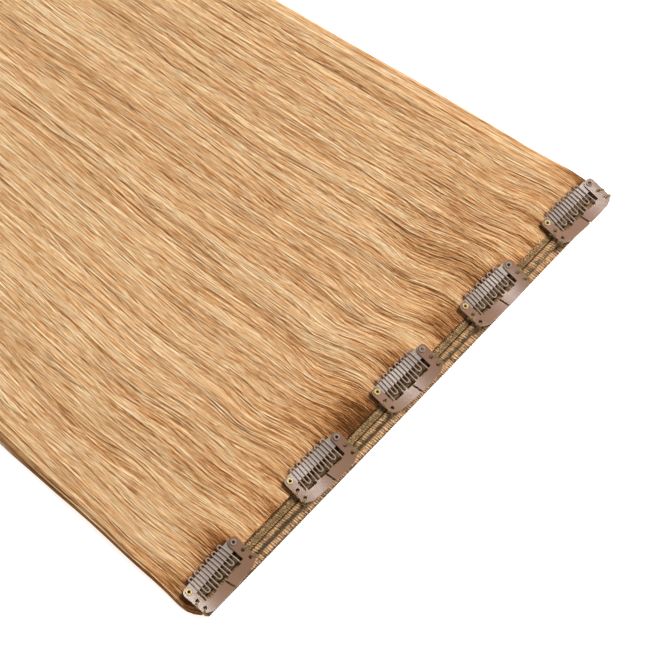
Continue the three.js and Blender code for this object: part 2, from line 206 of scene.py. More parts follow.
def hair_place(u, y):
    """Where a hair that starts at share u of the weft lies at a distance y: its x."""
    v = y / HAIR_LENGTH
    left, right = np.interp(y, *left_run), np.interp(y, *right_run)
    edge = np.clip(16 * u * (1 - u), 0.15, 1)  # the sides wave less
    free = np.clip(v * 12, 0, 1)  # the weft holds the roots
    root_x = ROOT_LEFT + ROOT_SPAN * u
    over_clip = 0
    for along, _, _ in CLIP_PLACES:
        past = root_x - along * MM
        over_clip = over_clip + eased((past + 0.0185) / 0.006) * eased((0.021 - past) / 0.010)
    sweep = np.interp(root_x, *zip(*SWEEP))
    # over a clip the hair turns only past the teeth, and far from the weft it falls straight again
    swept = eased((y - 0.001 - 0.009 * over_clip) / 0.028) * np.exp(-np.maximum(y - 0.040, 0) / 0.15)
    stirred = np.maximum(y, 0) / 0.03 * np.exp(1 - np.maximum(y, 0) / 0.03)
    x = left + (right - left) * u - sweep * swept
    return x + edge * (0.0018 * stirred * swirl(u, v)
                       + free * (0.0022 * sway(u, v) + 0.0013 * bend(u, v) + 0.00045 * waver(u, v)))


def parting(u, y):
    """From 0 to 1 where the hair parts beside a clip's left corner and the shaded hair below shows."""
    root_x = ROOT_LEFT + ROOT_SPAN * u
    depth = 0
    for (along, _, _), share in zip(CLIP_PLACES, PARTED):
        away = root_x - (along - EYELET_SIDE) * MM
        away = away - 0.05 * np.maximum(y - 0.01, 0)
        depth = depth + share * np.exp(-((away / (0.0020 + 0.05 * np.maximum(y, 0))) ** 2))
    return np.clip(depth, 0, 1) * eased((y + 0.003) / 0.006) * (1 - eased((y - 0.010) / 0.055))


def hair_top(u, y):
    """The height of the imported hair, before single strands."""
    v = y / HAIR_LENGTH
    thick = np.interp(y, *thick_run)
    x = hair_place(u, y)
    left, right = np.interp(y, *left_run), np.interp(y, *right_run)
    side = np.clip(np.minimum(u, 1 - u) * (right - left) / 0.007, 0, 1)
    round_off = np.sqrt(np.clip(1 - (1 - side) ** 2, 0, 1))
    free = np.clip((y - 0.004) / 0.02, 0, 1)
    stirred = np.clip(y / 0.012, 0, 1) * np.exp(-np.clip(y - 0.03, 0, 1) / 0.05)
    loose = (0.00045 + 0.0005 * stirred) * lump(u, v) + (0.00022 + 0.0006 * stirred) * ridge(u, v) \
        + 0.00022 * furrow(u, v) - 0.0008 * parting(u, y)
    puff = 0.0008 * np.clip((y - 0.006) / 0.03, 0, 1) * np.exp(-np.clip(y - 0.05, 0, 1) / 0.12)
    top = 0.0043 * thick + (loose + puff) * (0.25 + 0.75 * free) * np.clip(thick * 1.2, 0, 1)
    held = 0.00445 + 0.5 * np.maximum(y - 0.0045, 0)
    top = np.minimum(top, held)
    return 0.0004 + (top - 0.0004) * (0.12 + 0.88 * round_off), x


def hair_shade(u, y):
    """How much lighter or darker the hair is by where it lies: locks, partings and the pulled roots. The
    locks are lighter where the bed rises and darker where it sinks, a painted light and shade, and the
    partings, the roots by the weft and the hair under the clips are darkened with painted shade.
    """
    v = y / HAIR_LENGTH
    root = np.exp(-((np.maximum(y, -0.002) + 0.002) / 0.007))
    under_clip = 0
    for along, _, _ in CLIP_PLACES:
        under_clip = under_clip + (np.abs(ROOT_LEFT + ROOT_SPAN * u - along * MM) < SHADED_HALF)
    near = np.exp(-np.maximum(y, 0) / NEAR_CLIPS)
    inner = 1 - np.exp(-u / 0.015)
    # lump, ridge and furrow also raise and sink the bed in hair_top, so the raised locks are painted lighter
    # and the sunk ones darker; the parting term is painted shade
    return (0.06 * lump(u, v) + 0.05 * ridge(u, v) + 0.04 * furrow(u, v) - 0.36 * parting(u, y)
            # painted shade: darker near the clips and the weft, and in the furrows at the roots; pulled makes
            # locks lighter and darker at random
            + near * inner * (0.60 * pulled(u, v) + 0.08 * ridge(u, v) - 0.25)
            - 0.25 * inner * np.exp(-np.maximum(y, 0) / 0.010)
            - 0.45 * root * np.clip(0.35 + furrow(u, v * 3), 0, 1)
            # painted shade: the hair under each clip, darkened to a deep brown
            - 1.3 * under_clip * (1 - eased((y - 0.001) / 0.004)))


def in_mesh(bm, name):
    """The finished piece, with smooth shading."""
    mesh = bpy.data.meshes.new(name)
    bm.to_mesh(mesh)
    bm.free()
    mesh.shade_smooth()
    piece = bpy.data.objects.new(name, mesh)
    scene.collection.objects.link(piece)
    return piece


def hair_bed(name, root, low, high, tip, seed):
    """A closed bed of packed hair. low and high are shares of the hair's height, and tip its ragged end."""
    across, along = 200, 58
    ragged = drift(seed, 60, 2)
    bm = bmesh.new()
    lie = bm.loops.layers.uv.new("lie")
    tone = bm.verts.layers.float.new("tone")
    bmesh.ops.create_grid(bm, x_segments=across, y_segments=along, size=0.5)
    under = bmesh.ops.extrude_face_region(bm, geom=bm.faces[:])
    lower = {v for v in under["geom"] if isinstance(v, bmesh.types.BMVert)}
    verts = list(bm.verts)
    u = np.array([v.co.x for v in verts]) + 0.5
    t = np.array([v.co.y for v in verts]) + 0.5
    end = tip + 0.012 * ragged(u, t * 0 + 0.5)
    y = root + (end - root) * t ** 1.25
    top, x = hair_top(u, y)
    close = np.clip((1 - t) * 9, 0, 1)
    # painted shade: the packed bed starts from a darker tone than the strands, for the hair deeper down
    shade = 0.4 + hair_shade(u, y)
    for k, v in enumerate(verts):
        v[tone] = shade[k]
        share = low if v in lower else low + (high - low) * close[k]
        z = top[k] * share
        v.co = (x[k], y[k], max(z, 0.00002))
    where = {v: k for k, v in enumerate(verts)}
    for face in bm.faces:
        for loop in face.loops:
            k = where[loop.vert]
            loop[lie].uv = (u[k] * 0.25, y[k])
    bmesh.ops.reverse_faces(bm, faces=bm.faces[:])
    bmesh.ops.recalc_face_normals(bm, faces=bm.faces[:])
    return in_mesh(bm, name)


def group_tree(name, inputs, outputs):
    """An empty shader node group with named sockets."""
    tree = bpy.data.node_groups.new(name, "ShaderNodeTree")
    for label, kind, value in inputs:
        socket = tree.interface.new_socket(label, in_out="INPUT", socket_type=kind)
        if value is not None:
            socket.default_value = value
    for label, kind in outputs:
        tree.interface.new_socket(label, in_out="OUTPUT", socket_type=kind)
    return tree, tree.nodes.new("NodeGroupInput"), tree.nodes.new("NodeGroupOutput")


def add_node(tree, kind, links=(), **settings):
    """A node with its settings and its linked or plain inputs."""
    made = tree.nodes.new(kind)
    for key, value in settings.items():
        setattr(made, key, value)
    for socket, value in links:
        if isinstance(value, bpy.types.NodeSocket):
            tree.links.new(value, made.inputs[socket])
        else:
            made.inputs[socket].default_value = value
    return made


# Streaks along the hair, from its lie across and along in metres. Each cell across is one hair, which
# takes its noise from a place of its own, so that the streaks of neighbours don't start and end together.
streaks, streak_in, streak_out = group_tree(
    "hair_streaks",
    [("Lie", "NodeSocketVector", None), ("Fine", "NodeSocketFloat", 3200.0),
     ("Broad", "NodeSocketFloat", 260.0)],
    [("Fine", "NodeSocketFloat"), ("Broad", "NodeSocketFloat")],
)
lie_parts = add_node(streaks, "ShaderNodeSeparateXYZ", [(0, streak_in.outputs["Lie"])])
hair_count = add_node(streaks, "ShaderNodeMath",
                      [(0, lie_parts.outputs["X"]), (1, streak_in.outputs["Fine"])], operation="MULTIPLY")
hair_number = add_node(streaks, "ShaderNodeMath", [(0, hair_count.outputs[0])], operation="FLOOR")
hair_chance = add_node(streaks, "ShaderNodeTexWhiteNoise", [("W", hair_number.outputs[0])],
                       noise_dimensions="1D")
hair_start = add_node(streaks, "ShaderNodeMath",
                      [(0, hair_chance.outputs["Value"]), (1, 9.0), (2, lie_parts.outputs["Y"])],
                      operation="MULTIPLY_ADD")
long_lie = add_node(streaks, "ShaderNodeCombineXYZ",
                    [(0, lie_parts.outputs["X"]), (1, hair_start.outputs[0])])
long_scaled = add_node(streaks, "ShaderNodeVectorMath", [(0, long_lie.outputs[0]), (1, (1.0, 0.035, 1.0))],
                       operation="MULTIPLY")
fine = add_node(streaks, "ShaderNodeTexNoise",
                [("Vector", long_scaled.outputs[0]), ("Scale", streak_in.outputs["Fine"]), ("Detail", 4.0),
                 ("Roughness", 0.7)])
broad_lie = add_node(streaks, "ShaderNodeVectorMath", [(0, streak_in.outputs["Lie"]), (1, (1.0, 0.05, 1.0))],
                     operation="MULTIPLY")
broad = add_node(streaks, "ShaderNodeTexNoise",
                 [("Vector", broad_lie.outputs[0]), ("Scale", streak_in.outputs["Broad"]), ("Detail", 2.0)])
streaks.links.new(fine.outputs[0], streak_out.inputs["Fine"])
streaks.links.new(broad.outputs[0], streak_out.inputs["Broad"])


def ramp_node(tree, factor, stops):
    """Colours along a factor, from places and colours."""
    ramp = tree.nodes.new("ShaderNodeValToRGB")
    while len(ramp.color_ramp.elements) < len(stops):
        ramp.color_ramp.elements.new(0.5)
    for element, (place, colour) in zip(ramp.color_ramp.elements, stops):
        element.position, element.color = place, (*colour, 1.0)
    tree.links.new(factor, ramp.inputs["Fac"])
    return ramp


def mapped(tree, value, low, high, start=0.0, end=1.0):
    """A value that goes from start to end where it went from low to high."""
    made = add_node(tree, "ShaderNodeMapRange",
                    [("Value", value), ("From Min", low), ("From Max", high),
                     ("To Min", start), ("To Max", end)])
    return made.outputs[0]


def blended(tree, share, first, second, **settings):
    """Two colours mixed by a share."""
    made = add_node(tree, "ShaderNodeMix", data_type="RGBA", **settings)
    for socket, value in (("Factor", share), (6, first), (7, second)):
        if isinstance(value, bpy.types.NodeSocket):
            tree.links.new(value, made.inputs[socket])
        else:
            made.inputs[socket].default_value = value
    return made.outputs[2]


def grained(tree, shader, height, strength, distance):
    """The small relief of a surface, into its shader."""
    bump = add_node(tree, "ShaderNodeBump",
                    [("Height", height), ("Strength", strength), ("Distance", distance)])
    tree.links.new(bump.outputs["Normal"], shader.inputs["Normal"])


# the darkest stops are reached mostly where the painted shade under the clips, at the roots and in the
# partings pulls the tone down
HAIR_TONES = [
    (0.00, (0.105, 0.041, 0.014)),
    (0.08, (0.235, 0.080, 0.023)),
    (0.25, (0.480, 0.188, 0.054)),
    (0.50, (0.755, 0.412, 0.182)),
    (0.75, (0.900, 0.605, 0.315)),
    (1.00, (0.980, 0.815, 0.535)),
]
GOLDEN_TONES = [
    (0.00, (0.090, 0.038, 0.013)),
    (0.08, (0.185, 0.075, 0.023)),
    (0.50, (0.690, 0.440, 0.190)),
    (1.00, (0.950, 0.800, 0.525)),
]


def hair_paint(name, from_place, lift):
    """Dyed hair. from_place is how far the tone of the strand and its place counts, and lift makes it
    lighter."""
    material, tree, shader = new_paint(name)
    lie = add_node(tree, "ShaderNodeUVMap", uv_map="lie")
    drawn = add_node(tree, "ShaderNodeGroup", node_tree=streaks)
    tree.links.new(lie.outputs["UV"], drawn.inputs["Lie"])
    fine_part = add_node(tree, "ShaderNodeMath", [(0, drawn.outputs["Fine"]), (1, 2.9), (2, -1.45)],
                         operation="MULTIPLY_ADD")
    broad_part = add_node(tree, "ShaderNodeMath",
                          [(0, drawn.outputs["Broad"]), (1, 0.4), (2, fine_part.outputs[0])],
                          operation="MULTIPLY_ADD")
    tone = add_node(tree, "ShaderNodeAttribute", attribute_name="tone")
    total = add_node(tree, "ShaderNodeMath",
                     [(0, tone.outputs["Fac"]), (1, from_place), (2, broad_part.outputs[0])],
                     operation="MULTIPLY_ADD")
    factor = add_node(tree, "ShaderNodeMath", [(0, total.outputs[0]), (1, lift - 0.2 - 0.5 * from_place)],
                      operation="ADD", use_clamp=True)
    ramp = ramp_node(tree, factor.outputs[0], HAIR_TONES)
    golden = ramp_node(tree, factor.outputs[0], GOLDEN_TONES)
    golden_lie = add_node(tree, "ShaderNodeVectorMath", [(0, lie.outputs["UV"]), (1, (1.0, 0.09, 1.0))],
                          operation="MULTIPLY")
    golden_noise = add_node(tree, "ShaderNodeTexNoise",
                            [("Vector", golden_lie.outputs[0]), ("Scale", 900.0), ("Detail", 2.0)])
    golden_share = mapped(tree, golden_noise.outputs[0], 0.48, 0.72, 0.0, 0.35)
    colour = blended(tree, golden_share, ramp.outputs[0], golden.outputs[0])
    tree.links.new(colour, shader.inputs["Base Color"])
    tree.links.new(mapped(tree, drawn.outputs["Fine"], 0.3, 0.7, 0.55, 0.38), shader.inputs["Roughness"])
    grained(tree, shader, drawn.outputs["Fine"], 0.6, 0.00025)
    shader.inputs["Specular IOR Level"].default_value = 0.10
    shader.inputs["Specular Tint"].default_value = (1.0, 0.84, 0.60, 1.0)
    return material


# the packed hair is the strands' own hair, painted darker with a lower lift as shade for the hair deeper down
shaded_bed_paint = hair_paint("honey_hair_packed_shaded", from_place=0.6, lift=0.52)
strand_paint = hair_paint("honey_hair_strand", from_place=0.65, lift=0.62)
STATIONS = np.concatenate([np.linspace(0, 0.13, 9), np.linspace(0.17, 0.34, 5), np.linspace(0.42, 1, 7)])
TURN = 6.28
FULL_ENDS, SHORT_ENDS = (0.438, 0.462), (0.12, 0.44)
SIDE_SHARE = 0.03  # the strands of a side start within this share of the weft
LOWEST = 0.0003
TILT, TILT_SWING = 0.36, 0.16
DARK_UNTIL, DARK_TONE = 0.07, 0.04
PALE_FROM, PALE_TONE = 0.92, 0.96


def strands(name, seed, count, root, depth, width, short, spread=0.0, right_share=0.5):
    """Single strands as narrow ribbons. depth is their range of height over the bed, short the share that
    ends early, spread how far those of the edges stand off, and right_share how many are on the right."""
    rng = np.random.default_rng(seed)
    u = rng.random(count)
    if spread:
        u = np.where(rng.random(count) < 1 - right_share,
                     SIDE_SHARE * rng.random(count), 1 - SIDE_SHARE * rng.random(count))
    end = np.where(rng.random(count) < short,
                   rng.uniform(*SHORT_ENDS, count), rng.uniform(*FULL_ENDS, count))
    start = root + 0.0006 * rng.random(count)
    n = len(STATIONS)
    y = start[:, None] + (end - start)[:, None] * STATIONS[None, :]
    uu = np.repeat(u[:, None], n, 1)
    v = y / HAIR_LENGTH
    phase, pace = rng.uniform(0, 6.3, count)[:, None], rng.uniform(0.05, 0.18, count)[:, None]
    inside = np.clip(16 * u * (1 - u), 0.1, 1)[:, None]
    stray = 0.0036 * inside * rng.random(count)[:, None] ** 2.2 * np.clip(v * 12, 0, 1)
    top, x = hair_top(uu, y)
    x = x + stray * np.sin(phase + y / pace * TURN)
    lift = rng.uniform(*depth, count)[:, None]
    hover = rng.uniform(0, 0.0003, count)[:, None] * np.sin(phase * 2 + y / pace * 5)
    if spread:
        out = np.where(u < 0.5, -1.0, 1.0)[:, None]
        x = x + out * (rng.uniform(0.0, spread, count)[:, None] * np.sin(np.clip(v * 3.1, 0, 3.1)) + 0.0001)
        top = top * rng.uniform(0.2, 1.0, count)[:, None]
    z = top + np.minimum(lift, 0.0003 + np.maximum(y, 0) * 0.1) + hover * np.clip(v * 20, 0, 1)
    z = np.maximum(z, LOWEST)
    half = (rng.uniform(*width, count)[:, None] / 2) * np.clip((1.02 - STATIONS) * 12, 0.25, 1)[None, :]
    run_x, run_y = np.gradient(x, axis=1), np.gradient(y, axis=1)
    size = np.hypot(run_x, run_y)
    side_x, side_y = run_y / size, -run_x / size
    roll = rng.uniform(-TILT, TILT, count)[:, None] + TILT_SWING * np.sin(phase + y * 60)
    co = np.empty((count, n, 2, 3))
    for k, place in enumerate((-1, 1)):
        co[:, :, k, 0] = x + side_x * half * place
        co[:, :, k, 1] = y + side_y * half * place
        co[:, :, k, 2] = z + half * (roll * place + 0.9)
    base = (np.arange(count)[:, None] * n + np.arange(n - 1)[None, :]) * 2
    faces = np.stack([base, base + 1, base + 3, base + 2], -1).reshape(-1, 4)
    mesh = bpy.data.meshes.new(name)
    mesh.from_pydata(co.reshape(-1, 3), [], faces)
    mesh.shade_smooth()
    own = 0.49 + 0.45 * rng.uniform(-1, 1, count) ** 3 + 0.28 * rng.uniform(-1, 1, count)
    odd = rng.random(count)
    own = np.where(odd < DARK_UNTIL, DARK_TONE, np.where(odd > PALE_FROM, PALE_TONE, own))
    calm = 1 - 0.3 * np.exp(-np.maximum(y, 0) / NEAR_CLIPS)
    tone = np.repeat((0.5 + (own[:, None] - 0.5) * calm + hair_shade(uu, y)).ravel(), 2)
    mesh.attributes.new("tone", "FLOAT", "POINT").data.foreach_set("value", tone.astype(np.float32))
    lie = mesh.uv_layers.new(name="lie")
    across = np.stack([(u[:, None] * 0.25 + half * place + 0 * y) for place in (-1, 1)], -1).ravel()
    onward = y + rng.uniform(0, 4, count)[:, None]
    flat = np.stack([across, np.repeat(onward.ravel(), 2)], -1)
    corner = np.empty(len(mesh.loops), np.int32)
    mesh.loops.foreach_get("vertex_index", corner)
    lie.uv.foreach_set("vector", flat[corner].astype(np.float32).ravel())
    piece = bpy.data.objects.new(name, mesh)
    scene.collection.objects.link(piece)
    return piece


UPPER_ROOT = -0.0026
lower_bed = hair_bed("hair_bed_lower", root=-0.0076, low=0.0, high=0.44, tip=0.436, seed=21)
upper_bed = hair_bed("hair_bed_upper", root=UPPER_ROOT, low=0.47, high=0.92, tip=0.432, seed=22)
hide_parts("hair_lower")
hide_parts("hair_upper")
hair_pieces = [
    strands("hair_strands_1", 31, 3600, UPPER_ROOT, (-0.0008, -0.0001), (0.00040, 0.00070), short=0.18),
    strands("hair_strands_2", 32, 3800, UPPER_ROOT, (-0.0006, 0.0001), (0.00034, 0.00056), short=0.18),
    strands("hair_strands_3", 33, 4000, UPPER_ROOT, (-0.0003, 0.0003), (0.00026, 0.00046), short=0.22),
    strands("hair_strands_4", 34, 4000, UPPER_ROOT, (-0.0001, 0.0006), (0.00020, 0.00036), short=0.30),
    strands("hair_edge_strands", 35, 320, UPPER_ROOT, (-0.0001, 0.0004), (0.00018, 0.00035), short=0.4,
            spread=0.0009),
    strands("hair_corner_strands", 36, 300, -0.0108, (-0.0012, 0.0), (0.0003, 0.0005), short=0.2,
            spread=0.0003, right_share=0.0),
]
for piece in (lower_bed, upper_bed):
    piece.data.materials.append(shaded_bed_paint)
for piece in hair_pieces:
    piece.data.materials.append(strand_paint)
for piece in (lower_bed, upper_bed, *hair_pieces):
    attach(piece, "root")

# The sewn wefts: bundles of the same hair folded over and machine-stitched with olive thread. A flat
# lower track lies at the edge, a rolled track is wrapped on top of it, and a flat upper track behind
# the roll lets the upper hair out.
WEFT_HALF = 126.75
WEFT_END = 127.9
# the colour that the weft's painted shade and its random dark patches blend to
WEFT_DARK = (0.040, 0.022, 0.009, 1.0)
CLIP_SHADE_HALF, CLIP_SHADE = 12.2, 0.78


def weft_lean(x_mm):
    """The weft isn't quite straight on the table: how far it lies off its line, in mm."""
    return np.interp(x_mm, (-125, -96, 26, 92, 125), (-0.45, -0.40, 0.15, 0.85, 1.0))


def bundled_track(name, middle, size, square, pitch, depth, slant, seed, side_shade=0.0):
    """A track of hair bundles that run over it. middle and size are in Y and Z in mm, square is how boxed its
    section is, pitch how broad a bundle is, depth how deep the furrows between them are, slant how far they
    lean, and side_shade how much painted shade darkens its two sides. The furrows and the weft under the
    clips are darkened with painted shade too."""
    around, along = 18, 1300
    rng = np.random.default_rng(seed)
    bm = bmesh.new()
    tone, painted_shade = bm.verts.layers.float.new("tone"), bm.verts.layers.float.new("painted_shade")
    bmesh.ops.create_grid(bm, x_segments=around, y_segments=along, size=0.5)
    verts = list(bm.verts)
    turn = (np.array([v.co.x for v in verts]) + 0.5) * 2 * math.pi
    x = (np.array([v.co.y for v in verts]) + 0.5) * (WEFT_HALF + WEFT_END) - WEFT_HALF
    cos, sin = np.cos(turn), np.sin(turn)
    round_y = np.sign(cos) * np.abs(cos) ** square
    round_z = np.sign(sin) * np.abs(sin) ** square
    wander = np.interp(x, np.linspace(-130, 130, 170), rng.uniform(-0.28, 0.28, 170))
    at = x / pitch + wander + slant * round_y
    across = np.abs(np.sin(np.pi * at))
    furrow = 1 - np.clip(across * 1.15 - 0.12, 0, 1) ** 0.9
    bundle = np.floor(at).astype(int)
    own = rng.random(600)[bundle % 600]
    deep = 0.65 + 0.35 * rng.random(600)[np.floor(at + 0.5).astype(int) % 600]
    furrow = furrow * deep
    uneven = depth * furrow - 0.14 * (own - 0.5)
    end = np.clip(np.minimum(WEFT_HALF + x, WEFT_END - x) / 0.8, 0, 1) ** 0.5
    y = middle[0] + weft_lean(x) + (size[0] - 0.35 * uneven) * round_y * (0.3 + 0.7 * end)
    z = middle[1] + (size[1] - uneven) * round_z * (0.3 + 0.7 * end)
    z = np.maximum(z, 0.03)
    for k, v in enumerate(verts):
        v.co = Vector((x[k], y[k], z[k])) * MM
    # painted shade: the weft under each clip's plate and bar, the tracks' two sides and the furrows between
    # bundles are darkened in colour through this attribute
    shaded = np.zeros(len(verts))
    for clip_x, line, _ in CLIP_PLACES:
        shaded += (np.abs(x - clip_x) < CLIP_SHADE_HALF) * CLIP_SHADE * eased((y - line + 8.6) / 1.4)
    sides = np.clip((np.abs(round_y) - 0.86) * 9, 0, 1)
    furrow = np.maximum(furrow, np.clip(np.maximum(shaded, sides * side_shade), 0, 1))
    for k, v in enumerate(verts):
        v[tone], v[painted_shade] = own[k], furrow[k]
    bmesh.ops.remove_doubles(bm, verts=bm.verts, dist=1e-7)
    bmesh.ops.holes_fill(bm, edges=[e for e in bm.edges if e.is_boundary], sides=0)
    bmesh.ops.recalc_face_normals(bm, faces=bm.faces)
    return in_mesh(bm, name)


def bundle_paint(name, light, dark, thread, thread_from, thread_to, most):
    """Hair bundles with dark furrows: the furrows, the sides and the weft under the clips are darkened in
    colour by the mesh's attribute, a painted shade, and random patches darken too. The thread's colour comes
    in between two places across the weft, and most is its largest share."""
    material, tree, shader = new_paint(name)
    place = add_node(tree, "ShaderNodeTexCoord")
    tone = add_node(tree, "ShaderNodeAttribute", attribute_name="tone")
    painted_shade = add_node(tree, "ShaderNodeAttribute", attribute_name="painted_shade")
    lie = add_node(tree, "ShaderNodeVectorMath", [(0, place.outputs["Object"]), (1, (1.0, 0.09, 0.09))],
                   operation="MULTIPLY")
    hairs = add_node(tree, "ShaderNodeTexNoise",
                     [("Vector", lie.outputs[0]), ("Scale", 6500.0), ("Detail", 2.0)])
    blend = add_node(tree, "ShaderNodeMath", [(0, hairs.outputs[0]), (1, 0.9), (2, tone.outputs["Fac"])],
                     operation="MULTIPLY_ADD")
    ramp = ramp_node(tree, mapped(tree, blend.outputs[0], 0.25, 1.15),
                     [(0.0, dark), (0.45, light), (1.0, tuple(1.35 * c for c in light))])
    specks = add_node(tree, "ShaderNodeTexNoise",
                      [("Vector", place.outputs["Object"]), ("Scale", 900.0), ("Detail", 2.0)])
    patches = add_node(tree, "ShaderNodeTexNoise",
                       [("Vector", place.outputs["Object"]), ("Scale", 750.0), ("Detail", 3.0),
                        ("Roughness", 0.7)])
    hollow = mapped(tree, patches.outputs[0], 0.50, 0.64, 0.0, 0.80)
    # painted shade from the mesh, together with random darker patches
    sunk = add_node(tree, "ShaderNodeMath", [(0, painted_shade.outputs["Fac"]), (1, hollow)], operation="MAXIMUM")
    parts = add_node(tree, "ShaderNodeSeparateXYZ", [(0, place.outputs["Object"])])
    shifted = add_node(tree, "ShaderNodeMath", [(0, specks.outputs[0]), (1, 0.0024), (2, parts.outputs["Y"])],
                       operation="MULTIPLY_ADD")
    share = mapped(tree, shifted.outputs[0], thread_from + 0.0012, thread_to + 0.0012, 0.0, most)
    threaded = blended(tree, share, ramp.outputs[0], (*thread, 1.0))
    colour = blended(tree, sunk.outputs[0], threaded, WEFT_DARK)
    tree.links.new(colour, shader.inputs["Base Color"])
    tree.links.new(mapped(tree, hairs.outputs[0], 0.0, 1.0, 0.75, 0.45), shader.inputs["Roughness"])
    grained(tree, shader, hairs.outputs[0], 0.7, 0.0002)
    return material


def cord_pieces(name, paths, radius, sides=2, flatten=None):
    """Thread or wire along several paths in mm, as one mesh."""
    curve = bpy.data.curves.new(name, "CURVE")
    curve.dimensions = "3D"
    curve.bevel_depth, curve.bevel_resolution, curve.use_fill_caps = radius * MM, sides, True
    for path in paths:
        spline = curve.splines.new("POLY")
        spline.points.add(len(path) - 1)
        for point, place in zip(spline.points, path):
            point.co = (*(c * MM for c in place), 1.0)
    holder = bpy.data.objects.new(name + "_line", curve)
    scene.collection.objects.link(holder)
    mesh = bpy.data.meshes.new_from_object(holder.evaluated_get(bpy.context.evaluated_depsgraph_get()))
    bpy.data.objects.remove(holder)
    bpy.data.curves.remove(curve)
    mesh.name = name
    mesh.shade_smooth()
    if flatten:
        for v in mesh.vertices:
            v.co.z = flatten(v.co)
    piece = bpy.data.objects.new(name, mesh)
    scene.collection.objects.link(piece)
    return piece


def thread_paint(name, light, dark):
    """Spun polyester thread: two close colours along the twist, matt."""
    material, tree, shader = new_paint(name)
    place = add_node(tree, "ShaderNodeTexCoord")
    twist = add_node(tree, "ShaderNodeTexNoise",
                     [("Vector", place.outputs["Object"]), ("Scale", 1700.0), ("Detail", 2.0)])
    ramp = ramp_node(tree, twist.outputs[0], [(0.3, dark), (0.7, light)])
    tree.links.new(ramp.outputs[0], shader.inputs["Base Color"])
    tree.links.new(mapped(tree, twist.outputs[0], 0.0, 1.0, 0.8, 0.5), shader.inputs["Roughness"])
    grained(tree, shader, twist.outputs[0], 0.6, 0.0001)
    return material


lower_track = bundled_track("weft_lower_bundles", (-10.45, 1.02), (2.42, 1.0), square=0.45, pitch=1.12,
                            depth=0.42, slant=0.25, seed=41)
roll_track = bundled_track("weft_roll_bundles", (-8.18, 3.72), (1.86, 1.40), square=0.85, pitch=1.12,
                           depth=0.46, slant=0.45, seed=42, side_shade=0.9)
upper_track = bundled_track("weft_upper_bundles", (-4.45, 3.30), (1.76, 1.05), square=0.55, pitch=0.98,
                            depth=0.44, slant=0.55, seed=43, side_shade=0.95)
lower_track.data.materials.append(bundle_paint(
    "weft_tan_bundles", light=(0.68, 0.41, 0.215), dark=(0.22, 0.105, 0.040),
    thread=(0.11, 0.066, 0.027), thread_from=-0.0124, thread_to=-0.0130, most=0.9))
# on the roll the colour given as thread is near black; it comes in from about the roll's middle and covers
# its outer side down to the lower track
roll_track.data.materials.append(bundle_paint(
    "weft_roll_hair", light=(0.60, 0.370, 0.185), dark=(0.17, 0.090, 0.035),
    thread=(0.065, 0.037, 0.014), thread_from=-0.0082, thread_to=-0.0094, most=0.95))
upper_track.data.materials.append(bundle_paint(
    "weft_stitched_hair", light=(0.50, 0.305, 0.145), dark=(0.09, 0.048, 0.018),
    thread=(0.24, 0.155, 0.066), thread_from=-0.0034, thread_to=-0.0056, most=0.38))
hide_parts("weft_lower_track")
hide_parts("weft_roll")
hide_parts("weft_upper_track")

stitch_rng = np.random.default_rng(51)
olive_thread = thread_paint("olive_thread", (0.42, 0.305, 0.140), (0.12, 0.080, 0.030))
dark_thread = thread_paint("dark_olive_thread", (0.15, 0.095, 0.043), (0.055, 0.032, 0.014))


def zigzag(near, far, pitch, height):
    """A thread that goes to and fro along the weft."""
    points = []
    x = -WEFT_HALF + 1
    side = 0
    while x < WEFT_HALF - 1:
        y = (near, far)[side] + stitch_rng.uniform(-0.12, 0.12)
        dip = 0.20 if side else 0.12
        points.append((x, y + weft_lean(x), height - dip))
        points.append((x + pitch * 0.25, (near + far) / 2 + weft_lean(x),
                       height + stitch_rng.uniform(0, 0.1)))
        x += pitch * 0.5 + stitch_rng.uniform(-0.05, 0.05)
        side = 1 - side
    return points


def stitches(pitch, wobble, shape, lean_wobble=0.0):
    """Loops of thread in a row along the weft. shape is one loop's points from its place, in mm."""
    loops = []
    for x in np.arange(1 - WEFT_HALF, WEFT_HALF - 1, pitch):
        x = x + stitch_rng.uniform(-wobble, wobble)
        lean = weft_lean(x)
        if lean_wobble:
            lean = lean + stitch_rng.uniform(-lean_wobble, lean_wobble)
        loops.append([(x + onward, y + lean, z) for onward, y, z in shape])
    return loops


upper_stitches = cord_pieces("weft_zigzag_thread", [
    zigzag(-3.9, -5.5, 2.1, 4.46),
    [(x, -4.85 + weft_lean(x) + 0.26 * math.sin(x * 3.1), 4.42)
     for x in np.arange(1 - WEFT_HALF, WEFT_HALF - 1, 0.5)],
], radius=0.13, sides=1)
root_loops = stitches(1.05, 0.12, [(0, -3.6, 4.15), (0.1, -3.0, 4.50), (0.25, -2.5, 4.35)], 0.35)
edge_loops = stitches(0.92, 0.12, [(0, -11.95, 1.92), (0.15, -12.45, 1.98), (0.3, -12.86, 1.45),
                                   (0.35, -12.94, 0.7)])
roll_loops = stitches(0.84, 0.15, [(0, -8.4, 5.06), (0.25, -9.0, 4.93), (0.5, -9.6, 4.46), (0.6, -10.0, 3.8)])
root_stitches = cord_pieces("weft_root_stitches", root_loops, radius=0.15, sides=1)
edge_stitches = cord_pieces("weft_edge_stitches", edge_loops, radius=0.11, sides=1)
roll_stitches = cord_pieces("weft_roll_stitches", roll_loops, radius=0.15, sides=1)
upper_stitches.data.materials.append(olive_thread)
for piece in (root_stitches, edge_stitches, roll_stitches):
    piece.data.materials.append(dark_thread)
for piece in (lower_track, roll_track, upper_track,
              upper_stitches, root_stitches, edge_stitches, roll_stitches):
    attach(piece, "root")

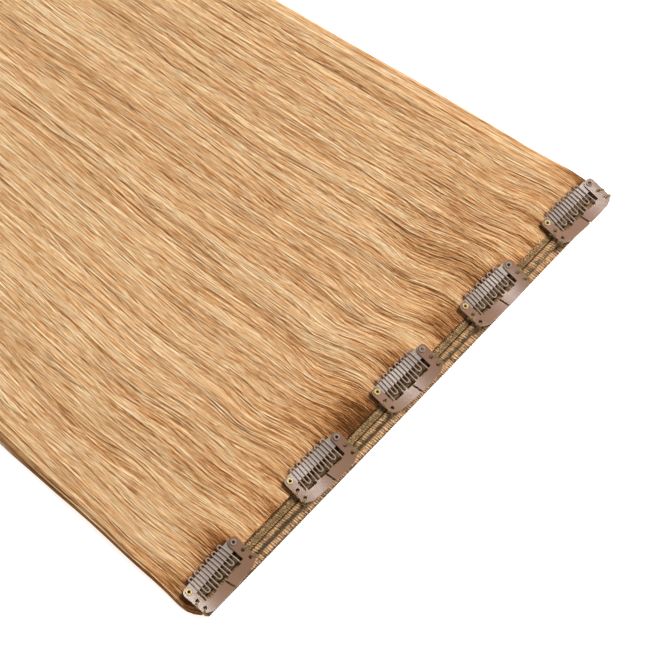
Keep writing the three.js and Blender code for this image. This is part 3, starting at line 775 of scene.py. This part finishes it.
# The five snap clips: each is a comb plate stamped from spring steel, riveted at both ends to a narrow
# bar, all painted a satin mauve taupe. The comb's six teeth are looped wires, and the slit in its long
# edge lets the plate snap over.
COMB_UNDER, SHEET = 5.5, 0.45
BAR_UNDER, BAR_SHEET = 4.8, 0.45
RIVET_X, RIVET_HOLE = 13.6, 1.07
SEWING_X, SEWING_ROWS, SEWING_HOLE = 13.8, (-5.0, -9.4), 0.85
PLATE_HALF, PLATE_EDGE, TAB_TOP = 16.0, -13.12, 2.1
BOW_RISE = 1.2


def bow(x):
    """How far a closed clip's sheet rises towards its ends, in mm."""
    return BOW_RISE * (x / PLATE_HALF) ** 2


def rounded(corners, steps=5):
    """A closed outline with its corners rounded. Each corner is x, y and radius in mm."""
    points = []
    for k, (x, y, r) in enumerate(corners):
        here = Vector((x, y))
        before = (Vector(corners[k - 1][:2]) - here)
        after = (Vector(corners[(k + 1) % len(corners)][:2]) - here)
        if r == 0:
            points.append(here)
            continue
        half = before.angle(after) / 2
        reach = min(r / math.tan(half), 0.49 * before.length, 0.49 * after.length)
        a, b = here + before.normalized() * reach, here + after.normalized() * reach
        for i in range(steps + 1):
            t = i / steps
            points.append(a * (1 - t) ** 2 + here * 2 * t * (1 - t) * 0.90 + b * t ** 2 +
                          (a + b) / 2 * 2 * t * (1 - t) * 0.10)
    return points


def ring_points(x, y, r, count=24):
    """The outline of a round hole."""
    return [Vector((x + r * math.cos(a), y + r * math.sin(a)))
            for a in (2 * math.pi * k / count for k in range(count))]


def stamped(name, outlines, holes, under, thick, edge=0.09):
    """A sheet stamped to its outlines, with its edges rounded, bowed along its length."""
    bm = bmesh.new()
    for loop in outlines + holes:
        verts = [bm.verts.new((p.x, p.y, 0.0)) for p in loop]
        for k in range(len(verts)):
            bm.edges.new((verts[k - 1], verts[k]))
    bmesh.ops.triangle_fill(bm, use_beauty=True, edges=bm.edges[:], normal=(0, 0, 1))
    for x in np.arange(-15.0, 15.5, 1.0):
        bmesh.ops.bisect_plane(bm, geom=bm.verts[:] + bm.edges[:] + bm.faces[:], dist=1e-4,
                               plane_co=(x + 0.013, 0, 0), plane_no=(1, 0, 0))
    made = bmesh.ops.extrude_face_region(bm, geom=bm.faces[:])
    bmesh.ops.translate(bm, verts=[v for v in made["geom"] if isinstance(v, bmesh.types.BMVert)],
                        vec=(0, 0, thick))
    bmesh.ops.recalc_face_normals(bm, faces=bm.faces)
    rims = [e for e in bm.edges if len(e.link_faces) == 2 and
            abs(e.link_faces[0].normal.z) + abs(e.link_faces[1].normal.z) < 1.5 and
            abs(e.link_faces[0].normal.z - e.link_faces[1].normal.z) > 0.5]
    bmesh.ops.bevel(bm, geom=rims, offset=edge, segments=2, profile=0.5, affect="EDGES", material=-1,
                    clamp_overlap=True)
    for v in bm.verts:
        v.co.z += under + bow(v.co.x)
        v.co *= MM
    bmesh.ops.recalc_face_normals(bm, faces=bm.faces)
    piece = in_mesh(bm, name)
    piece.data.set_sharp_from_angle(angle=math.radians(20))
    return piece


WINDOW_LEFT, WINDOW_RIGHT = -11.7, 11.2
FIRST_WIRE, LAST_WIRE = -10.7, 9.5
WIRE_HALF = 0.31
WIRE_TIP, WIRE_BEND, WIRE_FOOT, COMB_FLOOR = 3.05, -5.2, -7.4, -7.9


def wire_x(index, y):
    """Where one of the twelve wires runs at y. They draw together a little towards their tips."""
    pitch = (LAST_WIRE - FIRST_WIRE) / 11
    return (FIRST_WIRE + LAST_WIRE) / 2 + (index - 5.5) * pitch * (1 - 0.06 * (y - COMB_FLOOR) / 12.0)


def serpentine(first):
    """Two teeth of one wire: up, round a tip, down, round a bend, up, round a tip and down."""
    path = [(wire_x(first, WIRE_FOOT), WIRE_FOOT)]
    runs = ((WIRE_FOOT, WIRE_TIP), (WIRE_TIP, WIRE_BEND), (WIRE_BEND, WIRE_TIP), (WIRE_TIP, WIRE_FOOT))
    for step, (start, stop) in enumerate(runs):
        index = first + step
        path += [(wire_x(index, y), y) for y in np.linspace(start, stop, 7)]
        if step < 3:
            turn_y = stop
            a, b = wire_x(index, turn_y), wire_x(index + 1, turn_y)
            r, middle = (b - a) / 2, (a + b) / 2
            up = 1 if step % 2 == 0 else -1
            for k in range(1, 8):
                turn = math.pi * (1 - k / 8)
                path.append((middle + r * math.cos(turn), turn_y + up * r * 0.95 * math.sin(turn)))
    return [(x, y, COMB_UNDER + SHEET / 2 + bow(x)) for x, y in path]


def plate_half(side):
    """One half of the comb plate, up to the slit. side is -1 for the eyelet's end."""
    s = side
    slit = [(s * 0.42 - 0.30, -8.15, 0.2), (s * 0.42 + 0.68, PLATE_EDGE, 0.12)]
    edge = [(s * x, PLATE_EDGE + 0.0028 * x * x, 0) for x in (3.2, 6.0, 8.6)]
    outer = [(s * 12.0, -12.75, 3.2), (s * 15.7, -10.9, 2.6), (s * PLATE_HALF, TAB_TOP, 2.1)]
    inner = WINDOW_LEFT if s < 0 else WINDOW_RIGHT
    tab = [(inner, TAB_TOP, 0.3 if s < 0 else 2.3)]
    floors = (-7.6, -8.2, -7.7, -8.15)
    comb = [(inner, floors[0], 0.3)]
    for k, index in enumerate((0, 3, 4) if s < 0 else (11, 8, 7)):
        foot = wire_x(index, COMB_FLOOR)
        near, far = foot + s * WIRE_HALF, foot - s * WIRE_HALF
        comb += [(near, floors[k], 0.3), (near, -7.0, 0), (far, -7.0, 0), (far, floors[k + 1], 0.35)]
    return rounded(slit + edge + outer + tab + comb)


def enamel(name, base, light, metal=0.0, rough=0.31):
    """Satin stoved paint on steel, or the eyelet's brass: two close shades, and a fine grain in its colour,
    gloss and surface."""
    material, tree, shader = new_paint(name)
    place = add_node(tree, "ShaderNodeTexCoord")
    mottle = add_node(tree, "ShaderNodeTexNoise",
                      [("Vector", place.outputs["Object"]), ("Scale", 120.0), ("Detail", 2.0)])
    grain = add_node(tree, "ShaderNodeTexNoise",
                     [("Vector", place.outputs["Object"]), ("Scale", 5200.0), ("Detail", 1.0)])
    ramp = ramp_node(tree, mottle.outputs[0], [(0.3, base), (0.7, light)])
    speck = mapped(tree, grain.outputs[0], 0.3, 0.7, 0.93, 1.07)
    colour = blended(tree, 1.0, ramp.outputs[0], speck, blend_type="MULTIPLY")
    tree.links.new(colour, shader.inputs["Base Color"])
    shader.inputs["Metallic"].default_value = metal
    shader.inputs["Specular IOR Level"].default_value = 0.8
    gloss = mapped(tree, mottle.outputs[0], 0.3, 0.7, rough - 0.02, rough + 0.02)
    tree.links.new(gloss, shader.inputs["Roughness"])
    grained(tree, shader, grain.outputs[0], 0.10, 0.00002)
    return material


def spun_rivet(name, side):
    """A tubular rivet with its ends rolled over, turned up by the spinning of its section."""
    foot, head = BAR_UNDER - 0.32, COMB_UNDER + SHEET + 0.42
    section = [
        (0.62, foot), (1.28, foot), (1.38, foot + 0.12), (1.34, foot + 0.22), (0.86, foot + 0.22),
        (0.86, head - 0.30), (1.36, head - 0.30), (1.42, head - 0.18), (1.34, head - 0.06), (1.12, head),
        (0.86, head - 0.02), (0.70, head - 0.12), (0.62, head - 0.30),
    ]
    bm = bmesh.new()
    verts = [bm.verts.new((r, 0.0, z)) for r, z in section]
    edges = [bm.edges.new((verts[k - 1], verts[k])) for k in range(len(verts))]
    bmesh.ops.spin(bm, geom=verts + edges, cent=(0, 0, 0), axis=(0, 0, 1), angle=2 * math.pi, steps=28,
                   use_merge=True)
    bmesh.ops.remove_doubles(bm, verts=bm.verts, dist=1e-5)
    bmesh.ops.recalc_face_normals(bm, faces=bm.faces)
    slope = math.atan(2 * BOW_RISE * side * RIVET_X / PLATE_HALF ** 2)
    middle = (foot + head) / 2
    bmesh.ops.translate(bm, verts=bm.verts, vec=(0, 0, -middle))
    bmesh.ops.rotate(bm, verts=bm.verts, cent=(0, 0, 0), matrix=Matrix.Rotation(-slope, 3, "Y"))
    bmesh.ops.translate(bm, verts=bm.verts, vec=(side * RIVET_X, 0, middle + bow(RIVET_X)))
    bmesh.ops.scale(bm, verts=bm.verts, vec=(MM, MM, MM))
    return in_mesh(bm, name)


def sewn_ends(last):
    """The sewing thread: turns from each hole over the plate's end and down into the weft. The last clip's
    right end lies over the weft's end, so that its turns lie closer together there."""
    paths = []
    for side in (-1, 1):
        for hole in SEWING_ROWS:
            for turn in (-0.55, -0.20, 0.15, 0.50):
                x, y = side * SEWING_X, hole + 0.35 * turn - 0.35
                top = COMB_UNDER + SHEET + bow(SEWING_X) + 0.02
                out = COMB_UNDER + SHEET + bow(PLATE_HALF) + 0.04
                drop = -0.9 + turn * 1.1
                if last and side > 0:
                    drop = 0.12 * (SEWING_ROWS[0] - hole) - 0.9 + turn * 0.4
                paths.append([
                    (x + side * 0.15, y, top - 1.3), (x + side * 0.35, y, top - 0.25),
                    (x + side * 0.85, y + 0.3 * drop, top + 0.14),
                    (side * 15.3, y + 0.75 * drop, out - 0.10), (side * 16.05, y + drop, out),
                    (side * 16.25, y + 1.05 * drop, out - 0.5), (side * 16.2, y + 1.1 * drop, out - 1.5),
                    (side * 15.8, y + 1.1 * drop, 4.2),
                ])
    return paths


halves = [plate_half(-1), plate_half(1)]
holes = [ring_points(s * RIVET_X, 0, RIVET_HOLE) for s in (-1, 1)]
sewing = [ring_points(s * SEWING_X, y, SEWING_HOLE) for s in (-1, 1) for y in SEWING_ROWS]
comb_plate = stamped("comb_plate", halves, holes + sewing, COMB_UNDER, SHEET)
bar_outline = rounded([
    (-12.1, -2.45, 0.4), (12.1, -2.45, 0.4), (15.5, -1.9, 1.8), (15.5, 1.9, 1.8),
    (12.1, 2.4, 0.4), (-12.1, 2.4, 0.4), (-15.5, 1.9, 1.8), (-15.5, -1.9, 1.8),
])
bar_strip = stamped("bar_strip", [bar_outline], holes, BAR_UNDER, BAR_SHEET, 0.07)


def pressed_flat(co):
    """The wires' height after pressing, a fifth less than round."""
    middle = COMB_UNDER + SHEET / 2 + bow(co.x / MM)
    return (middle + (co.z / MM - middle) * 0.80) * MM


comb_wires = cord_pieces("comb_wires", [serpentine(first) for first in (0, 4, 8)], WIRE_HALF, 3, pressed_flat)
eyelet_ring, rivet_ring = spun_rivet("eyelet_ring", -1), spun_rivet("rivet_ring", 1)
sewing_thread = cord_pieces("sewing_thread", sewn_ends(False), radius=0.13)
last_thread = cord_pieces("sewing_thread_last", sewn_ends(True), radius=0.13)
taupe = enamel("taupe_enamel", (0.256, 0.145, 0.094), (0.270, 0.155, 0.102), rough=0.20)
# the wires, bar and rivet wear the plate's one paint; their lighter, greyer colours here are a painted sheen
# for the light they catch
sheen_lit_wire_paint = enamel("wire_enamel_sheen", (0.42, 0.32, 0.27), (0.45, 0.35, 0.30), metal=0.2)
sheen_lit_bar_paint = enamel("bar_enamel_sheen", (0.38, 0.325, 0.285), (0.41, 0.35, 0.31), metal=0.2)
sheen_lit_rivet_paint = enamel("rivet_enamel_sheen", (0.36, 0.27, 0.23), (0.39, 0.30, 0.26), metal=0.2)
brass = enamel("brass_eyelet", (0.92, 0.72, 0.28), (0.96, 0.82, 0.42), metal=0.55, rough=0.34)
for made, paint in (
    (comb_plate, taupe), (comb_wires, sheen_lit_wire_paint), (bar_strip, sheen_lit_bar_paint), (rivet_ring, sheen_lit_rivet_paint),
    (eyelet_ring, brass), (sewing_thread, olive_thread), (last_thread, olive_thread),
):
    made.data.materials.append(paint)

for number, (along, across, turn) in enumerate(CLIP_PLACES, 1):
    place = Matrix.Translation((along * MM, across * MM, 0.0)) @ Matrix.Rotation(math.radians(turn), 4, "Z")
    for made, stands_for, finish in (
        (comb_plate, "comb", "enamel"), (comb_wires, None, "enamel"), (bar_strip, "bar", "enamel"),
        (eyelet_ring, "eyelet", "brass"), (rivet_ring, "rivet", "enamel"),
        (last_thread if number == len(CLIP_PLACES) else sewing_thread, None, "weft"),
    ):
        piece = made.copy()
        piece.data = made.data.copy()
        piece.data.transform(place)
        piece.name = f"clip_{number}_{made.name}"
        scene.collection.objects.link(piece)
        if stands_for:
            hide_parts(f"clip_{number}_{stands_for}")
        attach(piece, "root")
for made in (comb_plate, comb_wires, bar_strip, eyelet_ring, rivet_ring, sewing_thread, last_thread):
    bpy.data.objects.remove(made)
